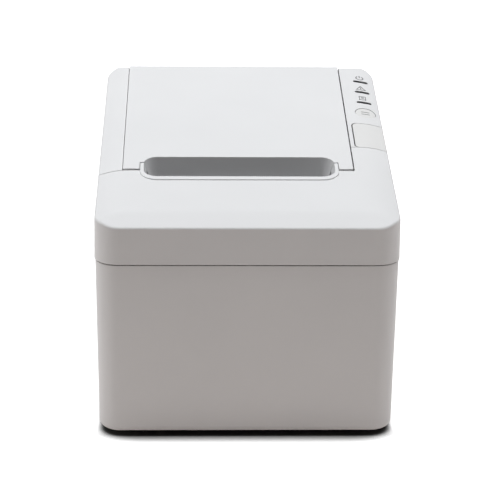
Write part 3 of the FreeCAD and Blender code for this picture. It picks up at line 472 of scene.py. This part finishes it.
def stroke(path, width, closed=False, lift=0.0):
    """Ring of four corners (left and right, sunk and raised) at each path point, and its quads."""
    left, right = ribbon(dense(np.asarray(path, float), closed), width, closed)
    low, high = lift - INK_SINK, lift + INK_LIFT
    corners = [(left, low), (right, low), (right, high), (left, high)]
    points = np.stack([on_strip(*edge.T, level) for edge, level in corners], 1).reshape(-1, 3)
    count = len(left)
    ring = np.arange(count if closed else count - 1)[:, None] * 4
    ahead = (ring + 4) % (4 * count)
    side = np.arange(4)[None, :]
    turn = (side + 1) % 4
    faces = np.stack([ring + side, ring + turn, ahead + turn, ahead + side], -1).reshape(-1, 4)
    if not closed:
        end = 4 * (count - 1)
        faces = np.vstack([faces, [[3, 2, 1, 0]], [[end, end + 1, end + 2, end + 3]]])
    return points, faces


print("ink strokes ready")

# %% [markdown]
# ## Drawing the four marks
# Power is an open ring with an upright bar, the fault mark is a triangle with an exclamation mark,
# and the paper mark is a slip with a torn lower edge and two lines of print. The key carries two
# bars. All fit within five millimetres, so they are drawn in millimetres about their own middle.

# %% Tools for the printed marks
MM = 0.001
INK_DARK, INK_PALE = (0.13, 0.13, 0.135), (0.2, 0.2, 0.205)


def line(x0, y0, x1, y1):
    """A straight path of two points."""
    return np.array([[x0, y0], [x1, y1]])


def arc(radius, start, stop, count=40):
    """Points on a circle about the mark's middle, between two angles in degrees."""
    angle = np.radians(np.linspace(start, stop, count))
    return radius * np.stack([np.cos(angle), np.sin(angle)], 1)


def printed(name, body, centre, strokes, width, lift=0.0):
    """Joins a mark's strokes, in millimetres about its centre, into one inked piece."""
    points, faces, offset = [], [], 0
    for path, closed in strokes:
        made, quads = stroke(np.asarray(path) * MM + np.asarray(centre), width, closed, lift)
        points.append(made)
        faces.append(quads + offset)
        offset += len(made)
    mesh = bpy.data.meshes.new(name)
    mesh.from_pydata(np.vstack(points).tolist(), [], np.vstack(faces).tolist())
    mesh.validate()
    piece = bpy.data.objects.new(name, mesh)
    bpy.context.scene.collection.objects.link(piece)
    dress(piece, ink)
    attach(piece, body)
    print("printed", name, "with", len(faces), "strokes")


def ink_finish():
    """Grey pad-printing ink, patchy where the pad left less of it."""
    material, tree, shader, where = begin("printing_ink")
    patch = noise(tree, where, scale=2600.0, detail=2.0)
    plug(tree, shader.inputs["Base Color"], mix(tree, patch, INK_DARK, INK_PALE))
    plug(tree, shader.inputs["Roughness"], 0.55 + 0.2 * (patch - 0.5))
    return material


ink = ink_finish()
print("mark tools ready")

# %% [markdown]
# ## Placing the four marks
# A mark's place is two numbers: how far it is to the right of the printer's middle, and how far it
# is behind the front face. The ring is drawn boldest and the slip and the key's bars finest, and the
# key's face lies a hair below the strip, so its ink goes down with it.

# %% Printed marks
POWER_AT, FAULT_AT = (0.0640, 0.1531), (0.0637, 0.1408)
PAPER_AT, FEED_AT = (0.0637, 0.1291), (0.0639, 0.1123)
BOLD, PLAIN, FINE = 0.00055, 0.00050, 0.00045
KEY_FACE = -0.00015
power = [(arc(1.9, 125.0, 415.0), False), (line(0.0, 0.4, 0.0, 2.6), False)]
fault = [(np.array([[-2.4, -1.8], [2.4, -1.8], [0.0, 2.2]]), True)]
fault += [(line(0.0, 0.9, 0.0, -0.5), False), (line(0.0, -0.85, 0.0, -1.25), False)]
torn = [[-1.6, -1.9], [-0.8, -1.3], [0.0, -1.9], [0.8, -1.3], [1.6, -1.9]]
slip = [(np.array([[-1.6, 2.0], *torn, [1.6, 2.0]]), True)]
slip += [(line(-0.8, 1.0, 0.8, 1.0), False), (line(-0.8, 0.1, 0.8, 0.1), False)]
feed = [(line(-2.2, 1.1, 2.2, 1.1), False), (line(-2.2, -1.1, 2.2, -1.1), False)]
printed("mark_power", "body", POWER_AT, power, BOLD)
printed("mark_fault", "body", FAULT_AT, fault, PLAIN)
printed("mark_paper", "body", PAPER_AT, slip, FINE)
printed("mark_feed", "feed_key", FEED_AT, feed, FINE, KEY_FACE)

# %% [markdown]
# ## The camera
# The lens and place were worked out from measured points: a long lens about ninety centimetres from
# the front, looking nineteen degrees down and two degrees to the right. The three axes are written
# out from those angles and become the columns of the camera's matrix.

# %% Camera
YAW, PITCH, ROLL = (math.radians(a) for a in (1.98, 19.03, -0.72))
EYE = (-0.02679, -0.88387, 0.37153)
FOCAL_MM, SENSOR_MM = 130.39, 36.0
ahead = Vector((math.sin(YAW), math.cos(YAW), 0.0))
forward = ahead * math.cos(PITCH) - Vector((0.0, 0.0, math.sin(PITCH)))
level = Vector((math.cos(YAW), -math.sin(YAW), 0.0))
down = forward.cross(level)
right = level * math.cos(ROLL) + down * math.sin(ROLL)
below = down * math.cos(ROLL) - level * math.sin(ROLL)
lens = bpy.data.cameras.new("camera")
lens.lens, lens.sensor_width = FOCAL_MM, SENSOR_MM
lens.clip_start, lens.clip_end = 0.05, 20.0
camera = bpy.data.objects.new("camera", lens)
bpy.context.scene.collection.objects.link(camera)
columns = Matrix((right, -below, -forward)).transposed()
camera.matrix_world = Matrix.Translation(EYE) @ columns.to_4x4()
bpy.context.scene.camera = camera
print("camera", round(lens.lens, 1), "mm")

# %% [markdown]
# ## The studio and the painted contact shadow
# The printer stands on a pale sheet that looks plain white to the camera. A sheet that only glowed
# would lose the thin dark line under the casing, without which the printer seems to float. So the
# contact shadow is painted: an occlusion value, low where the casing hides the sky from the floor,
# holds the glow back close to the feet and darkens the sheet's colour there. A fixed dark patch
# would be simpler, but its edges would show from other sides.

# %% What a ray sees, and the contact shadow
def seen(tree):
    """1 for rays from the camera, a mirror or a clear part, and 0 for light that is bouncing."""
    kinds = ("Is Camera Ray", "Is Glossy Ray", "Is Transmission Ray")
    straight, mirrored, passed = [make(tree, "ShaderNodeLightPath", output=kind) for kind in kinds]
    return (straight + mirrored + passed).clip(0.0, 1.0)


FRONT_SHADE, SIDE_SHADE = 0.016, 0.005
SHUT_FLOOR, OPEN_FLOOR, SHADE_CURVE = 0.42, 0.86, 1.5
FRONT_STARTS, FRONT_FULL = FRONT_Y + 0.013, FRONT_Y + 0.003


def contact(tree, where):
    """Painted shadow mask: 0 under the printer, rising to 1 a short way off: how much of the sky a
    floor point sees.

    A mask on Y makes this painted shade wide only along the front; elsewhere its reach is short.
    """
    shades = []
    for reach in (SIDE_SHADE, FRONT_SHADE):
        sky = make(tree, "ShaderNodeAmbientOcclusion", {"samples": 16}, {"Distance": reach}, "AO")
        shades.append(sky.ramp(SHUT_FLOOR, OPEN_FLOOR) ** SHADE_CURVE)
    y = make(tree, "ShaderNodeSeparateXYZ", inputs={0: where}, output="Y")
    in_front = y.ramp(FRONT_STARTS, FRONT_FULL)
    return shades[0] * (1.0 - in_front) + shades[1] * in_front


print("contact shadow reaches", FRONT_SHADE, "m ahead and", SIDE_SHADE, "m elsewhere")

# %% [markdown]
# ## The floor
# A sheet of white paper would do in a real studio. Here the colour that bounces light up and the
# colour that the camera sees are kept apart, so that the front wall gets its warm tone from a warm
# bounce while the floor in the picture stays white.

# %% Floor
BOUNCE = (0.90, 0.815, 0.765)
# The near-black colour below is painted shadow: the floor turns to it under and around the feet.
PAPER, PAINTED_SHADOW_DARK = (0.86, 0.86, 0.86), (0.05, 0.05, 0.05)
FLOOR_DROP = 0.0002


def studio_floor(half, glow):
    """A square sheet just under the feet: diffuse, with a glow added only where it is looked at.

    Near the feet a painted contact shadow holds the glow back and darkens the colour seen.
    """
    u, v = np.meshgrid([-half, half], [-half, half])
    points = np.stack([u, v, 0 * u - FLOOR_DROP], -1).reshape(-1, 3)
    mesh = bpy.data.meshes.new("floor")
    mesh.from_pydata(points.tolist(), [], [[0, 1, 3, 2]])
    sheet = bpy.data.objects.new("floor", mesh)
    bpy.context.scene.collection.objects.link(sheet)
    material, tree, shader, where = begin("floor_paper")
    weave = noise(tree, where, scale=30.0)
    bounce = mix(tree, weave, shade(BOUNCE, 0.99), shade(BOUNCE, 1.01))
    clear = contact(tree, where)
    looked_at = seen(tree)
    # Painted shadow: near the feet the colour seen turns from paper to near black.
    paper = mix(tree, clear, PAINTED_SHADOW_DARK, PAPER)
    plug(tree, shader.inputs["Base Color"], mix(tree, looked_at, bounce, paper))
    shader.inputs["Roughness"].default_value = 1.0
    shader.inputs["Specular IOR Level"].default_value = 0.0
    # Painted shadow: the glow is held back where the occlusion mask is low.
    shine = mix(tree, looked_at * clear, (0.0, 0.0, 0.0), (glow, glow, glow))
    plug(tree, shader.inputs["Emission Color"], shine)
    shader.inputs["Emission Strength"].default_value = 1.0
    dress(sheet, material)


studio_floor(half=6.0, glow=1.0)
print("floor ready")

# %% [markdown]
# ## The lamps
# A wide, shallow soft box hangs overhead and two weaker ones stand at the sides. None stands in
# front: the front wall is lit almost only by light that bounces off the floor, which is why it is
# darker and warmer than the sloping top. The left box is stronger than the right one, as the left
# corner of the casing is the lighter one. The world only fills the deepest shadows a little.

# %% World and lamps
def soft_box(name, place, aim, width, height, watts, colour=(1.0, 1.0, 1.0)):
    """A rectangular area lamp at a place, facing a point."""
    data = bpy.data.lights.new(name, "AREA")
    data.shape, data.size, data.size_y, data.energy = "RECTANGLE", width, height, watts
    data.color = colour
    box = bpy.data.objects.new(name, data)
    bpy.context.scene.collection.objects.link(box)
    box.location = place
    box.rotation_euler = (Vector(aim) - Vector(place)).to_track_quat("-Z", "Y").to_euler()


def studio_world(strength):
    """White where it is looked at; a weaker grey where it gives light."""
    world = bpy.data.worlds.new("studio")
    world.use_nodes = True
    bpy.context.scene.world = world
    tree = world.node_tree
    backdrop = next(n for n in tree.nodes if n.type == "BACKGROUND")
    fill = (strength, strength, strength)
    plug(tree, backdrop.inputs["Color"], mix(tree, seen(tree), fill, (1.0, 1.0, 1.0)))


COOL = (0.97, 0.985, 1.0)
UNDER_BOX, BODY_MIDDLE = (0.0, 0.03, 0.05), (0.0, 0.0, 0.08)
studio_world(strength=0.05)
soft_box("overhead", (0.0, 0.03, 1.5), UNDER_BOX, width=1.8, height=0.6, watts=22.0, colour=COOL)
soft_box("left", (-1.3, 0.0, 0.5), BODY_MIDDLE, width=0.9, height=0.9, watts=3.0)
soft_box("right", (1.3, 0.0, 0.5), BODY_MIDDLE, width=0.9, height=0.9, watts=1.1)
bpy.context.scene.view_settings.view_transform = "Standard"
print("world and three lamps ready")
